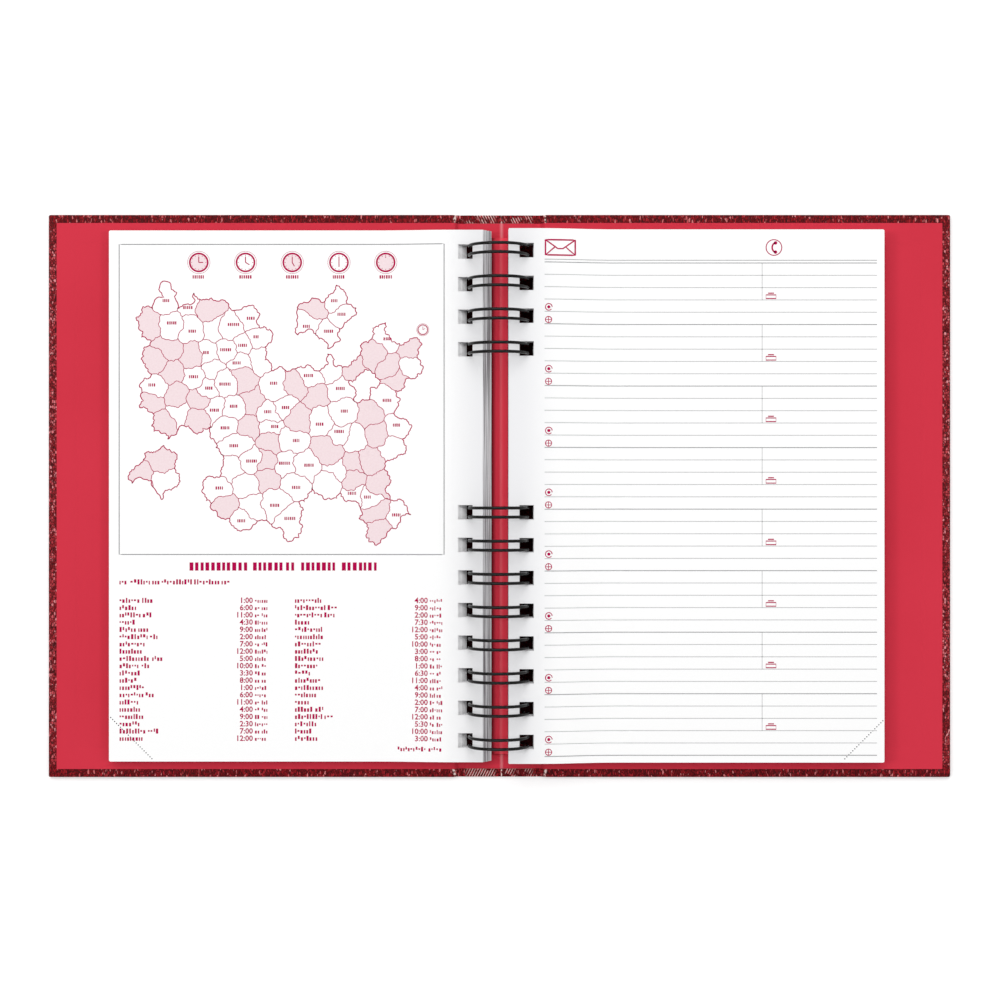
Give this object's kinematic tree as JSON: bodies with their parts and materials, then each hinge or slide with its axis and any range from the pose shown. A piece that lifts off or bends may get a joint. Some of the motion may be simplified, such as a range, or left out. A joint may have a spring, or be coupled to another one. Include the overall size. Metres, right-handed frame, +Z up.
{
  "type": "spiral planner",
  "caption": "Wire-bound weekly planner lying open: turned-in board cover with crimson lining, black twin-loop wires, packets of punched leaves and loose leaves that turn.",
  "frame": {"origin": "centre of the open book's outline on the table, under the middle of the spine", "axes": "+X across the open book to the right, +Y toward its head, +Z up from the table"},
  "size_m": [0.3552, 0.2214, 0.0254],
  "materials": {
    "skin": "dark red embossed reptile-grain leatherette, semi-matt",
    "lining": "crimson lining paper, matt",
    "board": "grey-brown cover board",
    "wire": "black nylon-coated steel wire, satin",
    "leaf": "white uncoated writing paper"
  },
  "bodies": {
    "back_cover": {"back_board": "board", "back_skin": "skin", "back_lining": "lining"},
    "spine": {"spine_skin": "skin", "spine_stiffener": "board", "spine_lining": "lining", "wire_upper": "wire", "wire_middle": "wire", "wire_lower": "wire", "binding_strip": "lining"},
    "front_cover": {"front_board": "board", "front_skin": "skin", "front_lining": "lining"},
    "right_pages": {"right_packet_1": "leaf", "right_packet_2": "leaf", "right_packet_3": "leaf"},
    "left_pages": {"left_packet_1": "leaf", "left_packet_2": "leaf", "left_leaf_1": "leaf", "left_leaf_2": "leaf"},
    "right_leaf_1": {"right_leaf_1": "leaf"},
    "right_leaf_2": {"right_leaf_2": "leaf"},
    "right_leaf_3": {"right_leaf_3": "leaf"}
  },
  "joints": [
    {"name": "spine_fold", "type": "hinge", "parent": "back_cover", "child": "spine", "pos_m": [0.0152, 0, 0.0008], "axis": [0, 1, 0], "range_deg": [0, 90]},
    {"name": "front_cover_fold", "type": "hinge", "parent": "spine", "child": "front_cover", "pos_m": [-0.0152, 0, 0.0008], "axis": [0, 1, 0], "range_deg": [0, 92]},
    {"name": "right_pages_turn", "type": "hinge", "parent": "spine", "child": "right_pages", "pos_m": [0.0002, 0, 0.0129], "axis": [0, 1, 0], "range_deg": [-89, 0]},
    {"name": "left_pages_turn", "type": "hinge", "parent": "spine", "child": "left_pages", "pos_m": [-0.0019, 0, 0.012], "axis": [0, 1, 0], "range_deg": [0, 93]},
    {"name": "right_leaf_3_turn", "type": "hinge", "parent": "right_pages", "child": "right_leaf_3", "pos_m": [-0.0004, 0, 0.0135], "axis": [0, 1, 0], "range_deg": [-24, 0]},
    {"name": "right_leaf_2_turn", "type": "hinge", "parent": "right_leaf_3", "child": "right_leaf_2", "pos_m": [-0.0004, 0, 0.0135], "axis": [0, 1, 0], "range_deg": [-48, 0]},
    {"name": "right_leaf_1_turn", "type": "hinge", "parent": "right_leaf_2", "child": "right_leaf_1", "pos_m": [-0.0004, 0, 0.0135], "axis": [0, 1, 0], "range_deg": [-110, 0]}
  ],
  "couplings": [
    {"joint": "right_pages_turn", "follows": "spine_fold", "ratio": -0.9888},
    {"joint": "left_pages_turn", "follows": "front_cover_fold", "ratio": 1.0108}
  ]
}
